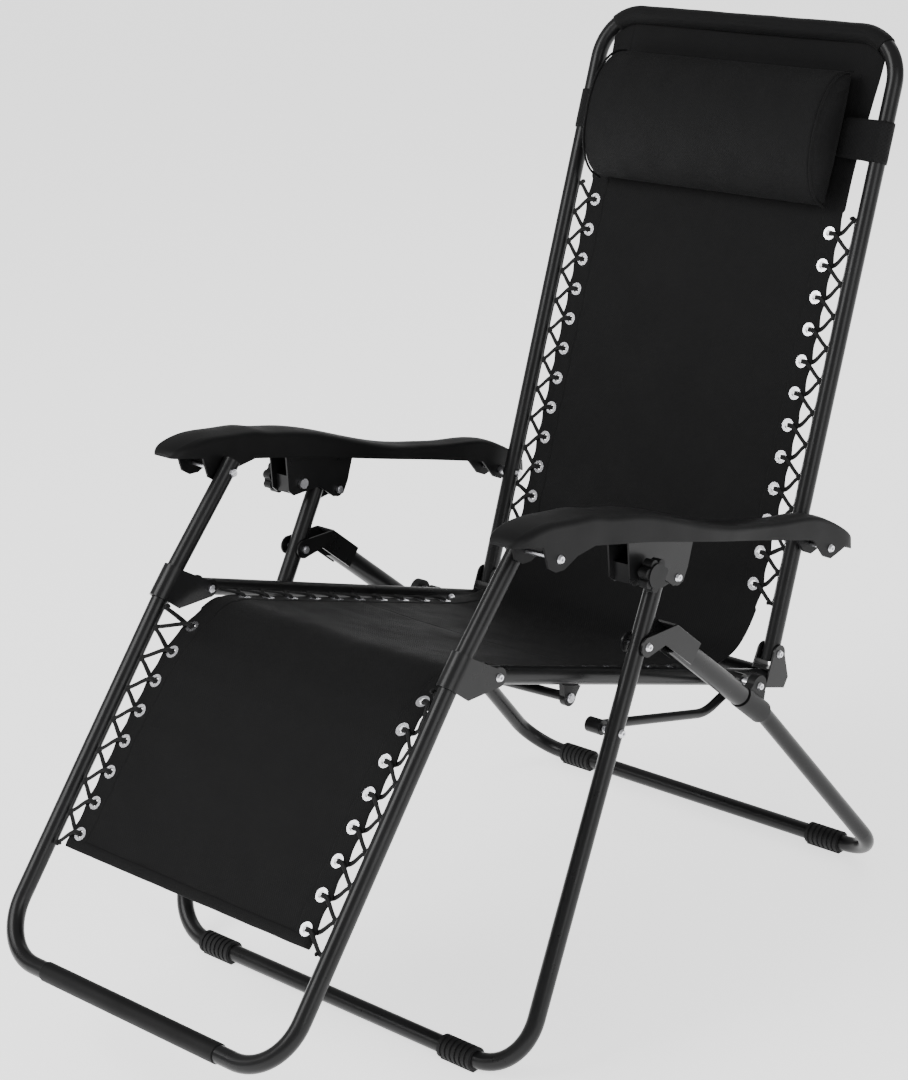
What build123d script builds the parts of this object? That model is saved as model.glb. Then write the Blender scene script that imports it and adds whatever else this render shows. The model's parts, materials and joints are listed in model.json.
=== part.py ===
from build123d import *
import math
import os

# Zero gravity recliner. Millimetres, +Z up, the sitter faces -Y, the floor is Z = 0 and X = 0 is the
# plane of symmetry. "left" is the sitter's left, on the +X side. Side-view points are (y, z) pairs.

# ---------------------------------------------------------------- driving dimensions
TUBE_R = 11.0
TUBE_WALL = 1.2
FRAME_X = 250.0            # tubes of the back, seat and foot frames
LEG_X = 298.0              # legs at the scissor pivot
LEG_SPLAY = 0.0316         # how far a leg leans out for each millimetre of its length
FLOOR_BAR_Z = 15.0

SCISSOR = (0.0, 480.0)             # front leg turns in the forks of the leg sleeves
FRONT_BAR = (-263.0, FLOOR_BAR_Z)
REAR_BAR = (473.0, FLOOR_BAR_Z)
SLEEVE_FOOT = (193.0, 347.0)       # lower end of the leg sleeve, on its axis
SLEEVE_ANGLE = 138.3               # from +Y, up the sleeve
SLEEVE_LENGTH = 172.0
LINK_FRONT = (-53.0, 386.0)
SEAT_PIVOT = (229.0, 347.3)        # seat rail on the collar of the rear leg
FOOT_PIVOT = (-208.0, 500.0)
BACK_PIVOT = (324.0, 350.0)
RECLINE_ARM = 150.0                # pivot spacing along the back and foot frames
BACK_ANGLE = 68.0
BACK_LENGTH = 815.0                # back pivot to the axis of the top bar
FOOT_BEND = (-266.0, 522.0)
FOOT_BAR = (-586.0, 142.0)
SLIDER_PIVOT = (65.0, 548.0)
KNOB_AXIS = (0.0, 575.0)

SLING_HALF = 214.0
SLING_THICK = 2.0
GROMMET_X = 201.0
GROMMET_PITCH = 42.7
LACE_R = 1.9
VERTEX_X = FRAME_X - TUBE_R - LACE_R - 2.4

ARM_X = 289.0
LINK_X = 270.0
SLEEVE_R = 14.0
EAR_GAP = 14.4             # half the gap between the cheeks of a leg fork
BRACKET_GAP = 11.6         # half the gap between the cheeks of a frame bracket
PLATE = 2.5
CENTRE_Y = 22.0            # moves the whole chair so that its bounding box is centred

BOLT_R = 3.0
HOLE_R = 3.2
HEAD_R = 5.5
NUT_R = 5.5

os.makedirs("parts", exist_ok=True)


# ---------------------------------------------------------------- helpers
def side(x=0.0):
    """Sketch plane seen from +X: local x is +Y, local y is +Z."""
    return Plane(origin=(x, 0, 0), x_dir=(0, 1, 0), z_dir=(1, 0, 0))


def step(point, angle, distance):
    """A side-view point moved a distance along an angle in degrees."""
    a = math.radians(angle)
    return (point[0] + distance * math.cos(a), point[1] + distance * math.sin(a))


def at(x, point):
    """A side-view point placed at a distance from the plane of symmetry."""
    return (x, point[0], point[1])


def angle_of(start, end):
    """Angle in degrees of the line between two side-view points."""
    return math.degrees(math.atan2(end[1] - start[1], end[0] - start[0]))


def distance(start, end):
    """Length between two side-view points."""
    return math.hypot(end[0] - start[0], end[1] - start[1])


def tube(points, bend, radius=TUBE_R, wall=TUBE_WALL):
    """Round tube swept along a path of straight runs with rounded bends."""
    with BuildLine() as route:
        if len(points) > 2:
            FilletPolyline(*points, radius=bend)
        else:
            Line(*points)
    with BuildSketch(Plane(origin=route.line @ 0, z_dir=route.line % 0)) as section:
        Circle(radius)
        if wall:
            Circle(radius - wall, mode=Mode.SUBTRACT)
    sweep(section.sketch, path=route.line)


def cross_rod(x_start, x_end, point, radius, mode=Mode.ADD):
    """Cylinder along X through a side-view point."""
    with Locations(at((x_start + x_end) / 2, point)):
        Cylinder(radius, abs(x_end - x_start), rotation=(0, 90, 0), mode=mode)


def bolt(x_outer, x_inner, point, shoulder=None):
    """Button-head bolt on the +X side with its socket outside and a domed cap nut at the inner end."""
    cross_rod(x_inner, x_outer, point, BOLT_R)
    if shoulder:
        cross_rod(shoulder[0], shoulder[1], point, 6.0)
    with BuildSketch(side(x_outer)) as head:
        with Locations(point):
            Circle(HEAD_R)
    extrude(head.sketch, amount=3.0, taper=28)
    with BuildSketch(side(x_outer + 3.0)) as socket:
        with Locations(point):
            RegularPolygon(2.0, 6)
    extrude(socket.sketch, amount=-1.8, mode=Mode.SUBTRACT)
    with BuildSketch(side(x_inner)) as nut:
        with Locations(point):
            RegularPolygon(NUT_R, 6)
    extrude(nut.sketch, amount=-4.0)
    cross_rod(x_inner - 4.0, x_inner - 5.5, point, NUT_R - 1.6)


def plate(x, outline, rounds=(), thickness=2.5, holes=()):
    """Flat plate square to X from a side-view outline, with round lobes (point, radius) and holes."""
    with BuildSketch(side(x)) as face:
        with BuildLine():
            Polyline(*outline, close=True)
        make_face()
        for point, radius in rounds:
            with Locations(point):
                Circle(radius)
        for point, radius in holes:
            with Locations(point):
                Circle(radius, mode=Mode.SUBTRACT)
    extrude(face.sketch, amount=thickness)


def strip(points, thickness):
    """Closed side-view outline of a thin sheet that follows a line of points."""
    above = []
    below = []
    for index, point in enumerate(points):
        before = points[max(index - 1, 0)]
        after = points[min(index + 1, len(points) - 1)]
        square = angle_of(before, after) + 90.0
        above.append(step(point, square, thickness / 2))
        below.append(step(point, square, -thickness / 2))
    return above + below[::-1]


def save(part, name):
    """Label a finished piece and write it."""
    part.label = name
    export_step(part, f"parts/{name}.step")


def save_pair(part, name):
    """Write a piece of the +X side as left and its mirror image as right."""
    save(part, f"{name}_left")
    save(mirror(part, about=Plane.YZ), f"{name}_right")


def leg_x(distance_from_pivot):
    """Half width of a leg at a distance down its length from the scissor pivot."""
    return LEG_X + LEG_SPLAY * distance_from_pivot


# ---------------------------------------------------------------- derived geometry
LEG_ANGLE = angle_of(FRONT_BAR, SCISSOR)
LEG_LENGTH = distance(FRONT_BAR, SCISSOR)
LEG_TOP = step(SCISSOR, LEG_ANGLE, 115.0)
LINK_REACH = distance(SCISSOR, LINK_FRONT)
ARM_ANGLE = angle_of(FOOT_PIVOT, BACK_PIVOT)
ARM_FRONT = step(FOOT_PIVOT, BACK_ANGLE, RECLINE_ARM)
ARM_REAR = step(BACK_PIVOT, BACK_ANGLE, RECLINE_ARM)
RAIL_END = (330.0, 312.0)
RAIL_ANGLE = angle_of(FOOT_PIVOT, RAIL_END)
RAIL_START = step(FOOT_PIVOT, RAIL_ANGLE, -14.0)
BACK_TOP = step(BACK_PIVOT, BACK_ANGLE, BACK_LENGTH)
LEG_REST_ANGLE = angle_of(FOOT_BEND, FOOT_BAR)
COLLAR_LENGTH = 60.0
REAR_BEND = step(SLEEVE_FOOT, SLEEVE_ANGLE, -68.0)


def on_sleeve(along, up):
    """Side-view point from distances along the sleeve axis and square to it."""
    return step(step(SLEEVE_FOOT, SLEEVE_ANGLE, along), SLEEVE_ANGLE - 90.0, up)


def on_rail(along, up):
    """Side-view point from distances along the seat rail and square to it."""
    return step(step(FOOT_PIVOT, RAIL_ANGLE, along), RAIL_ANGLE + 90.0, up)


def on_back(along, up):
    """Side-view point from distances up the back frame and square to its front."""
    return step(step(BACK_PIVOT, BACK_ANGLE, along), BACK_ANGLE + 90.0, up)


def on_foot(along, up):
    """Side-view point from distances down the foot frame and square to its front."""
    return step(step(FOOT_BEND, LEG_REST_ANGLE, along), LEG_REST_ANGLE - 90.0, up)


def ribbed_feet(bar, half_spacing):
    """Two split rubber sleeves with ribs and a flat sole, on a floor bar."""
    for x in (-half_spacing, half_spacing):
        cross_rod(x - 27.0, x + 27.0, bar, FLOOR_BAR_Z - 1.6)
        for rib in range(7):
            middle = x - 24.0 + 8.0 * rib
            cross_rod(middle - 2.4, middle + 2.4, bar, FLOOR_BAR_Z)
        with Locations((x, bar[0], 0)):
            Box(54.0, 15.0, 7.0, align=(Align.CENTER, Align.CENTER, Align.MIN))
        cross_rod(x - 30.0, x + 30.0, bar, TUBE_R + 0.02, mode=Mode.SUBTRACT)


# ---------------------------------------------------------------- rear legs (on the floor)
with BuildPart() as rear_leg_frame:
    floor_x = LEG_X + 20.0
    top = on_sleeve(SLEEVE_LENGTH - 12.0, 0.0)
    route = [at(-LEG_X, top), at(-LEG_X, REAR_BEND), at(-floor_x, REAR_BAR)]
    route += [at(floor_x, REAR_BAR), at(LEG_X, REAR_BEND), at(LEG_X, top)]
    tube(route, (60.0, 58.0, 58.0, 60.0))

with BuildPart() as rear_feet:
    ribbed_feet(REAR_BAR, 227.0)

with BuildPart() as leg_collar:
    down_leg = (0, *step((0, 0), SLEEVE_ANGLE, -1.0))
    with BuildSketch(Plane(origin=at(LEG_X, on_sleeve(-4.0, 0.0)), z_dir=down_leg)):
        Circle(15.2)
    extrude(amount=COLLAR_LENGTH - 6.0)
    ear = (on_sleeve(-8.0, 0.0), on_sleeve(-14.0, 26.0), on_sleeve(-42.0, 24.0), on_sleeve(-54.0, 0.0))
    plate(LEG_X - 6.0, ear, rounds=((SEAT_PIVOT, 14.0),), thickness=12.0)
    with BuildSketch(Plane(origin=at(LEG_X, on_sleeve(10.0, 0.0)), z_dir=down_leg)):
        Circle(TUBE_R + 0.02)
    extrude(amount=COLLAR_LENGTH + 20.0, mode=Mode.SUBTRACT)
    cross_rod(LEG_X - 10.0, LEG_X + 10.0, SEAT_PIVOT, HOLE_R, mode=Mode.SUBTRACT)

# ---------------------------------------------------------------- leg sleeves and their forks
up_leg = (0, *step((0, 0), SLEEVE_ANGLE, 1.0))
with BuildPart() as leg_sleeve:
    with BuildSketch(Plane(origin=at(LEG_X, SLEEVE_FOOT), z_dir=up_leg)):
        Circle(SLEEVE_R)
        Circle(TUBE_R + 0.4, mode=Mode.SUBTRACT)
    extrude(amount=SLEEVE_LENGTH)

with BuildPart() as fork_bracket:
    cheek = (on_sleeve(140.0, 16.9), on_sleeve(197.0, 16.9), on_sleeve(243.5, -22.0), on_sleeve(224.0, -38.0),
             on_sleeve(203.0, -13.0), on_sleeve(140.0, -13.0))
    for x in (LEG_X - EAR_GAP - PLATE, LEG_X + EAR_GAP):
        plate(x, cheek, rounds=((SCISSOR, 12.5),), thickness=PLATE, holes=((SCISSOR, HOLE_R),))
    web = (on_sleeve(140.0, 16.9), on_sleeve(197.0, 16.9), on_sleeve(197.0, 14.4), on_sleeve(140.0, 14.4))
    plate(LEG_X - EAR_GAP, web, thickness=2 * EAR_GAP)
    folds = edges().filter_by(lambda edge: edge.length > 50.0 and abs(edge.center().X - LEG_X) > EAR_GAP + 1.0)
    off_sleeve = Vector(0, *step((0, 0), SLEEVE_ANGLE - 90.0, 1.0))
    fillet(folds.sort_by(lambda edge: edge.center().dot(off_sleeve))[-2:], 2.0)

with BuildPart() as leg_pivot_fasteners:
    bolt(LEG_X + EAR_GAP + PLATE, LEG_X - EAR_GAP - PLATE, SCISSOR)
    mirror(about=Plane.YZ)

# ---------------------------------------------------------------- front legs
with BuildPart() as front_leg_frame:
    bar_x = leg_x(LEG_LENGTH)
    top_x = leg_x(-115.0)
    route = [at(-top_x, LEG_TOP), at(-bar_x, FRONT_BAR), at(bar_x, FRONT_BAR), at(top_x, LEG_TOP)]
    tube(route, 70.0)
    lug_x = leg_x(-91.0)
    foot_of_lug = step(SLIDER_PIVOT, LEG_ANGLE + 90.0, 12.6)
    lug = (step(foot_of_lug, LEG_ANGLE, 14.0), step(SLIDER_PIVOT, LEG_ANGLE, 9.0),
           step(SLIDER_PIVOT, LEG_ANGLE, -9.0), step(foot_of_lug, LEG_ANGLE, -18.0))
    for sign in (-1.0, 1.0):
        plate(sign * lug_x - 5.0, lug, rounds=((SLIDER_PIVOT, 10.0),), thickness=10.0)
        cross_rod(sign * lug_x - 8.0, sign * lug_x + 8.0, SLIDER_PIVOT, HOLE_R, mode=Mode.SUBTRACT)
        cross_rod(sign * LEG_X - 14.0, sign * LEG_X + 14.0, SCISSOR, HOLE_R, mode=Mode.SUBTRACT)
        link_x = sign * leg_x(LINK_REACH)
        cross_rod(link_x - 14.0, link_x + 14.0, LINK_FRONT, HOLE_R, mode=Mode.SUBTRACT)

with BuildPart() as front_feet:
    ribbed_feet(FRONT_BAR, 217.0)

with BuildPart() as leg_top_plugs:
    leg_end = step((0, 0), LEG_ANGLE, 1.0)
    for sign in (-1.0, 1.0):
        plug_plane = Plane(origin=at(sign * top_x, LEG_TOP), z_dir=(-sign * LEG_SPLAY, *leg_end))
        with BuildSketch(plug_plane):
            Circle(TUBE_R)
        extrude(amount=2.5)
        with BuildSketch(plug_plane):
            Circle(TUBE_R - TUBE_WALL - 0.05)
        extrude(amount=-14.0)

with BuildPart() as link_front_fasteners:
    link_x = leg_x(LINK_REACH)
    bolt(link_x + TUBE_R + 0.4, link_x - TUBE_R - 0.4, LINK_FRONT)
    mirror(about=Plane.YZ)

# ---------------------------------------------------------------- link rods
with BuildPart() as link_rod:
    tube((at(LINK_X, SEAT_PIVOT), at(LINK_X, (158.0, 327.0)), at(LINK_X, LINK_FRONT)), 60.0, radius=6.0, wall=0)
    cross_rod(LINK_X - 7.5, LINK_X + 7.5, SEAT_PIVOT, 10.0)
    cross_rod(LINK_X - 8.0, LINK_X + 13.0, LINK_FRONT, 9.5)
    cross_rod(LINK_X - 8.0, LINK_X - 11.0, LINK_FRONT, 5.0)
    cross_rod(LINK_X - 12.0, LINK_X + 12.0, SEAT_PIVOT, HOLE_R, mode=Mode.SUBTRACT)

with BuildPart() as seat_pivot_fasteners:
    bolt(LEG_X + 6.3, FRAME_X - TUBE_R - 0.3, SEAT_PIVOT, shoulder=(LINK_X + 7.9, LEG_X - 6.5))
    mirror(about=Plane.YZ)

# ---------------------------------------------------------------- seat
with BuildPart() as seat_frame:
    route = [at(-FRAME_X, RAIL_START), at(-FRAME_X, RAIL_END), at(FRAME_X, RAIL_END), at(FRAME_X, RAIL_START)]
    tube(route, 26.0)
    for sign in (-1.0, 1.0):
        for point in (FOOT_PIVOT, SEAT_PIVOT):
            cross_rod(sign * FRAME_X - 14.0, sign * FRAME_X + 14.0, point, HOLE_R, mode=Mode.SUBTRACT)

with BuildPart() as seat_rear_bracket:
    b_along = distance(FOOT_PIVOT, BACK_PIVOT) * math.cos(math.radians(ARM_ANGLE - RAIL_ANGLE))
    inner_cheek = (on_rail(b_along - 17.0, 11.4), on_rail(b_along - 12.0, 34.0), on_rail(b_along + 12.0, 34.0),
                   on_rail(b_along + 17.0, 11.4))
    outer_cheek = (on_rail(b_along - 17.0, -11.0), on_rail(b_along - 12.0, 34.0), on_rail(b_along + 12.0, 34.0),
                   on_rail(b_along + 29.0, 4.0), on_rail(b_along + 24.0, -11.0))
    plate(FRAME_X - BRACKET_GAP - PLATE, inner_cheek, rounds=((BACK_PIVOT, 12.0),), thickness=PLATE,
          holes=((BACK_PIVOT, HOLE_R),))
    plate(FRAME_X + BRACKET_GAP, outer_cheek, rounds=((BACK_PIVOT, 12.0),), thickness=PLATE,
          holes=((BACK_PIVOT, HOLE_R),))
    web = (on_rail(b_along - 17.0, 11.4), on_rail(b_along - 17.0, 13.6), on_rail(b_along + 17.0, 13.6),
           on_rail(b_along + 17.0, 11.4))
    plate(FRAME_X - BRACKET_GAP, web, thickness=2 * BRACKET_GAP)

with BuildPart() as seat_brace:
    lug_centre = (-77.0, 426.0)
    brace_end = FRAME_X - 4.0
    tube((at(-brace_end, lug_centre), at(-120.0, (-72.0, 418.0)), at(120.0, (-72.0, 418.0)),
          at(brace_end, lug_centre)), 150.0, radius=6.0, wall=0)
    for sign in (-1.0, 1.0):
        rail_over = distance(FOOT_PIVOT, lug_centre) * math.cos(
            math.radians(angle_of(FOOT_PIVOT, lug_centre) - RAIL_ANGLE))
        lug = (on_rail(rail_over - 16.0, -11.3), on_rail(rail_over - 10.0, -26.0), on_rail(rail_over + 10.0, -26.0),
               on_rail(rail_over + 16.0, -11.3))
        plate(sign * FRAME_X - 4.0, lug, rounds=((lug_centre, 10.5),), thickness=8.0)

with BuildPart() as seat_brace_screws:
    for sign in (-1.0, 1.0):
        cross_rod(sign * (FRAME_X + 4.3), sign * (FRAME_X + 5.8), lug_centre, 6.0)
        cross_rod(sign * (FRAME_X + 5.8), sign * (FRAME_X + 7.6), lug_centre, 4.6)

with BuildPart() as sling_seat:
    seat_line = (on_rail(16.0, -4.0), on_rail(60.0, -4.0), on_rail(220.0, -2.0), on_rail(420.0, 1.0),
                 (245.0, 349.5), (278.0, 351.0), (296.0, 357.0))
    plate(-SLING_HALF, strip(seat_line, SLING_THICK), thickness=2 * SLING_HALF)


# ---------------------------------------------------------------- lacing
def along_line(points, distance_along):
    """Side-view point and direction at a distance along a line of points."""
    left_over = distance_along
    for start, end in zip(points, points[1:]):
        length = distance(start, end)
        if left_over <= length or end == points[-1]:
            heading = angle_of(start, end)
            return step(start, heading, left_over), heading
        left_over -= length


def grommet_row(line, first, pitch, count):
    """Places of the grommets along one edge of a sheet: side-view point and direction."""
    return [along_line(line, first + pitch * index) for index in range(count)]


def grommet_holes(row):
    """Cut the grommet holes of both edges out of a sheet."""
    for point, heading in row:
        for sign in (-1.0, 1.0):
            normal = (0, *step((0, 0), heading + 90.0, 1.0))
            with BuildSketch(Plane(origin=at(sign * GROMMET_X, step(point, heading + 90.0, -4.0)), z_dir=normal)) as h:
                Circle(5.3)
            extrude(h.sketch, amount=8.0, mode=Mode.SUBTRACT)


def grommets(row):
    """Rolled eyelets of both edges of a sheet."""
    for point, heading in row:
        for sign in (-1.0, 1.0):
            normal = (0, *step((0, 0), heading + 90.0, 1.0))
            for base, height, radius in ((-1.7, 3.4, 5.25), (-1.75, 0.7, 8.75), (1.05, 0.7, 8.75)):
                place = Plane(origin=at(sign * GROMMET_X, step(point, heading + 90.0, base)), z_dir=normal)
                with BuildSketch(place) as eyelet:
                    Circle(radius)
                    Circle(4.75, mode=Mode.SUBTRACT)
                extrude(eyelet.sketch, amount=height)


def lace(row, loops):
    """Cord laced from the frame through each grommet and back to the frame, on the +X side."""
    route = []
    for index, (point, heading) in enumerate(row):
        if index < len(loops):
            route.append(at(VERTEX_X, loops[index]))
        route.append(at(GROMMET_X, step(point, heading + 90.0, 5.0)))
        route.append(at(GROMMET_X, step(point, heading + 90.0, -5.0)))
        route.append(at(SLING_HALF + 4.5, step(step(point, heading + 90.0, -3.9), heading, 4.0)))
    route.append(at(VERTEX_X, loops[-1]))
    tube(route, 2.1, radius=LACE_R, wall=0)


seat_row = grommet_row(seat_line, 12.0, 42.4, 10)
seat_loops = [on_rail(7.0 + 42.4 * index, 0.0) for index in range(11)]
back_line = (on_back(76.0 - 8.0, 0.0), on_back(BACK_LENGTH - 12.0, 0.0))
back_row = grommet_row(back_line, 13.0, GROMMET_PITCH, 12)
back_loops = [on_back(60.0 + GROMMET_PITCH * index, 0.0) for index in range(13)]
back_loops[2] = on_back(RECLINE_ARM - 14.0, 0.0)
leg_line = ((-490.0, 257.0), (-382.5, 378.5), (-324.0, 439.5), (-291.0, 466.0), (-262.0, 480.0))
leg_row = grommet_row(leg_line, 16.6, 42.0, 8)
leg_loops = [on_foot(352.0 - 42.0 * index, 0.0) for index in range(8)] + [on_foot(29.0, 0.0)]

with BuildPart() as seat_grommets:
    grommets(seat_row)
with BuildPart() as back_grommets:
    grommets(back_row)
with BuildPart() as leg_grommets:
    grommets(leg_row)
with BuildPart() as lace_seat:
    lace(seat_row, seat_loops)
with BuildPart() as lace_back:
    lace(back_row, back_loops)
with BuildPart() as lace_leg:
    lace(leg_row, leg_loops)
with sling_seat:
    grommet_holes(seat_row)

# ---------------------------------------------------------------- back
with BuildPart() as back_pivot_fasteners:
    bolt(FRAME_X + BRACKET_GAP + PLATE + 0.3, FRAME_X - BRACKET_GAP - PLATE - 0.3, BACK_PIVOT)
    mirror(about=Plane.YZ)

with BuildPart() as back_frame:
    foot_of_back = on_back(-12.0, 0.0)
    route = [at(-FRAME_X, foot_of_back), at(-FRAME_X, BACK_TOP), at(FRAME_X, BACK_TOP), at(FRAME_X, foot_of_back)]
    tube(route, 65.0)
    for sign in (-1.0, 1.0):
        for point in (BACK_PIVOT, ARM_REAR):
            cross_rod(sign * FRAME_X - 14.0, sign * FRAME_X + 14.0, point, HOLE_R, mode=Mode.SUBTRACT)

with BuildPart() as sling_back:
    sheet_low = on_back(68.0, 0.0)
    plate(-SLING_HALF, strip((sheet_low, on_back(742.0, 0.0)), SLING_THICK), thickness=2 * SLING_HALF)
    plate(-180.0, strip((on_back(742.0, 0.0), on_back(BACK_LENGTH - 11.6, 0.0)), SLING_THICK), thickness=360.0)
    cross_rod(-180.0, 180.0, BACK_TOP, 13.4)
    cross_rod(-185.0, 185.0, BACK_TOP, TUBE_R + 0.35, mode=Mode.SUBTRACT)
    grommet_holes(back_row)

with BuildPart() as pillow:
    with BuildSketch(Plane(origin=at(0.0, on_back(671.0, 8.5)), x_dir=(1, 0, 0),
                           z_dir=(0, *step((0, 0), BACK_ANGLE + 90.0, 1.0)))):
        RectangleRounded(400.0, 188.0, 24.0)
    extrude(amount=70.0)
    fillet(edges().group_by(Axis.Y)[0], 26.0)

with BuildPart() as pillow_straps:
    for sign in (-1.0, 1.0):
        strap_plane = Plane(origin=at(sign * FRAME_X, on_back(648.0, 0.0)), x_dir=(1, 0, 0),
                            z_dir=(0, *step((0, 0), BACK_ANGLE, 1.0)))
        with BuildSketch(strap_plane):
            Circle(13.0)
            with Locations((-sign * 24.6, -12.25)):
                Rectangle(49.2, 1.5)
            Circle(11.5, mode=Mode.SUBTRACT)
        extrude(amount=55.0)

# ---------------------------------------------------------------- leg rest
with BuildPart() as foot_pivot_fasteners:
    bolt(FRAME_X + BRACKET_GAP + PLATE + 0.3, FRAME_X - BRACKET_GAP - PLATE - 0.3, FOOT_PIVOT)
    mirror(about=Plane.YZ)

with BuildPart() as foot_frame:
    frame_end = step(ARM_FRONT, angle_of(FOOT_BEND, ARM_FRONT), 16.0)
    route = [at(-FRAME_X, frame_end), at(-FRAME_X, FOOT_BEND), at(-FRAME_X, FOOT_BAR)]
    route += [at(FRAME_X, FOOT_BAR), at(FRAME_X, FOOT_BEND), at(FRAME_X, frame_end)]
    tube(route, (120.0, 70.0, 70.0, 120.0))
    for sign in (-1.0, 1.0):
        cross_rod(sign * FRAME_X - 14.0, sign * FRAME_X + 14.0, ARM_FRONT, BOLT_R + 0.4, mode=Mode.SUBTRACT)

with BuildPart() as foot_bracket:
    up_tube = 47.5
    saddle_top = step(FOOT_BEND, up_tube, 22.0)
    saddle_foot = step(FOOT_BEND, up_tube, -22.0)
    cheek = (saddle_top, step(FOOT_PIVOT, 100.0, 12.0), step(FOOT_PIVOT, -80.0, 12.0),
             step(FOOT_BEND, -82.0, 33.0), saddle_foot)
    for x in (FRAME_X - BRACKET_GAP - PLATE, FRAME_X + BRACKET_GAP):
        plate(x, cheek, rounds=((FOOT_PIVOT, 12.0),), thickness=PLATE, holes=((FOOT_PIVOT, HOLE_R),))
    with BuildSketch(Plane(origin=at(FRAME_X, saddle_foot), x_dir=(1, 0, 0),
                           z_dir=(0, *step((0, 0), up_tube, 1.0)))) as saddle:
        Circle(BRACKET_GAP + PLATE)
        Circle(BRACKET_GAP, mode=Mode.SUBTRACT)
        with Locations((0, -15.0)):
            Rectangle(40.0, 30.0, mode=Mode.INTERSECT)
    extrude(saddle.sketch, amount=44.0)

with BuildPart() as foot_bar_cover:
    cross_rod(-155.0, 155.0, FOOT_BAR, 12.5)
    fillet(edges(), 1.0)
    cross_rod(-160.0, 160.0, FOOT_BAR, TUBE_R + 0.02, mode=Mode.SUBTRACT)

with BuildPart() as sling_leg:
    plate(-SLING_HALF, strip(leg_line, SLING_THICK), thickness=2 * SLING_HALF)
    grommet_holes(leg_row)


# ---------------------------------------------------------------- armrests
def arm_shell(inset):
    """Rounded upper body of an armrest lofted along its length, made smaller all round by an amount."""
    for index, (y, half, top, corner) in enumerate(ARM_SECTIONS):
        w = half - inset
        z = top - 1.1 * inset
        r = corner - 0.5 * inset
        y += inset if index == 0 else -inset if index == len(ARM_SECTIONS) - 1 else 0.0
        k = 0.293 * r
        with BuildSketch(Plane(origin=(ARM_X, y, 0), x_dir=(1, 0, 0), z_dir=(0, -1, 0))) as section:
            with BuildLine():
                Line((-w, 380.0), (-w, z - r))
                ThreePointArc((-w, z - r), (-w + k, z - k), (-w + r, z))
                ThreePointArc((-w + r, z), (0.0, z + 1.2), (w - r, z))
                ThreePointArc((w - r, z), (w - k, z - k), (w, z - r))
                Line((w, z - r), (w, 380.0))
                Line((w, 380.0), (-w, 380.0))
            make_face()
        yield section.sketch


LIP = ((432.0, 472.0), (414.0, 482.0), (396.0, 478.0), (380.0, 475.0), (366.0, 482.0), (345.0, 510.5),
       (180.0, 560.3), (12.0, 611.0), (-90.0, 637.0), (-122.0, 634.0), (-146.0, 624.5), (-160.0, 625.5),
       (-172.0, 634.0), (-178.0, 661.0), (-206.0, 668.0))
ARM_SECTIONS = ((-222.0, 15.0, 674.0, 5.0), (-214.0, 22.5, 680.0, 7.0), (-198.0, 26.5, 684.0, 8.5),
                (-178.0, 27.0, 686.0, 9.0), (-140.0, 27.0, 682.5, 9.0), (-100.0, 27.0, 676.5, 9.0),
                (-48.0, 27.0, 662.5, 9.0), (0.0, 27.0, 650.0, 9.0), (60.0, 27.0, 627.0, 9.0),
                (108.0, 26.8, 606.5, 9.0), (150.0, 25.0, 590.0, 8.5), (200.0, 20.5, 574.5, 8.0),
                (255.0, 17.7, 561.0, 7.0), (310.0, 17.5, 550.0, 6.5), (355.0, 17.5, 539.0, 6.5),
                (398.0, 17.5, 517.0, 6.5), (424.0, 15.5, 499.0, 6.0), (436.0, 10.0, 489.0, 5.0))

with BuildPart() as armrest:
    loft(list(arm_shell(0.0)))
    with BuildSketch(side(ARM_X - 30.0)):
        with BuildLine():
            Polyline((440.0, 760.0), (440.0, 468.0), *LIP, (-230.0, 672.0), (-230.0, 760.0), close=True)
        make_face()
    extrude(amount=60.0, mode=Mode.INTERSECT)
    loft(list(arm_shell(3.4)), mode=Mode.SUBTRACT)
    for point in (ARM_FRONT, ARM_REAR):
        cross_rod(ARM_X - 30.0, ARM_X + 30.0, point, HOLE_R, mode=Mode.SUBTRACT)

with BuildPart() as arm_front_bolt:
    bolt(ARM_X + 27.3, FRAME_X - TUBE_R - 0.3, ARM_FRONT)

with BuildPart() as arm_rear_bolt:
    bolt(ARM_X + 17.8, FRAME_X - TUBE_R - 0.3, ARM_REAR, shoulder=(FRAME_X + TUBE_R + 0.4, ARM_X - 17.9))

# ---------------------------------------------------------------- sliding arm supports and lock knobs
with BuildPart() as arm_slider:
    cheek = ((-24.0, 622.0), (40.0, 604.0), (96.0, 587.0), (84.0, 556.0), (74.0, 540.0), (56.0, 540.0),
             (30.0, 562.0), (-16.0, 562.0), (-24.0, 570.0))
    for x in (ARM_X - 12.8, ARM_X + 18.2):
        plate(x, cheek, rounds=((SLIDER_PIVOT, 10.0),), holes=((SLIDER_PIVOT, HOLE_R), (KNOB_AXIS, 4.05)))
    with Locations((ARM_X + 4.0, -4.0, 576.0)):
        Box(29.0, 26.0, 24.0)
    cross_rod(ARM_X - 14.0, ARM_X + 22.0, KNOB_AXIS, 4.05, mode=Mode.SUBTRACT)

with BuildPart() as slider_pivot_bolt:
    bolt(ARM_X + 21.0, ARM_X - 13.1, SLIDER_PIVOT, shoulder=(ARM_X - 10.0, lug_x - 5.4))

with BuildPart() as lock_knob:
    cross_rod(ARM_X + 29.0, ARM_X + 44.0, KNOB_AXIS, 15.5)
    for lobe in range(7):
        cross_rod(ARM_X + 29.0, ARM_X + 42.0, step(KNOB_AXIS, 360.0 / 7 * lobe, 15.0), 6.0)
    cross_rod(ARM_X + 21.1, ARM_X + 29.0, KNOB_AXIS, 10.0)
    cross_rod(ARM_X + 20.0, ARM_X + 38.0, KNOB_AXIS, 4.02, mode=Mode.SUBTRACT)

with BuildPart() as knob_stud:
    cross_rod(ARM_X - 18.0, ARM_X + 37.5, KNOB_AXIS, 4.0)
    cross_rod(ARM_X - 18.0, ARM_X - 13.2, KNOB_AXIS, 7.0)

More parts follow.
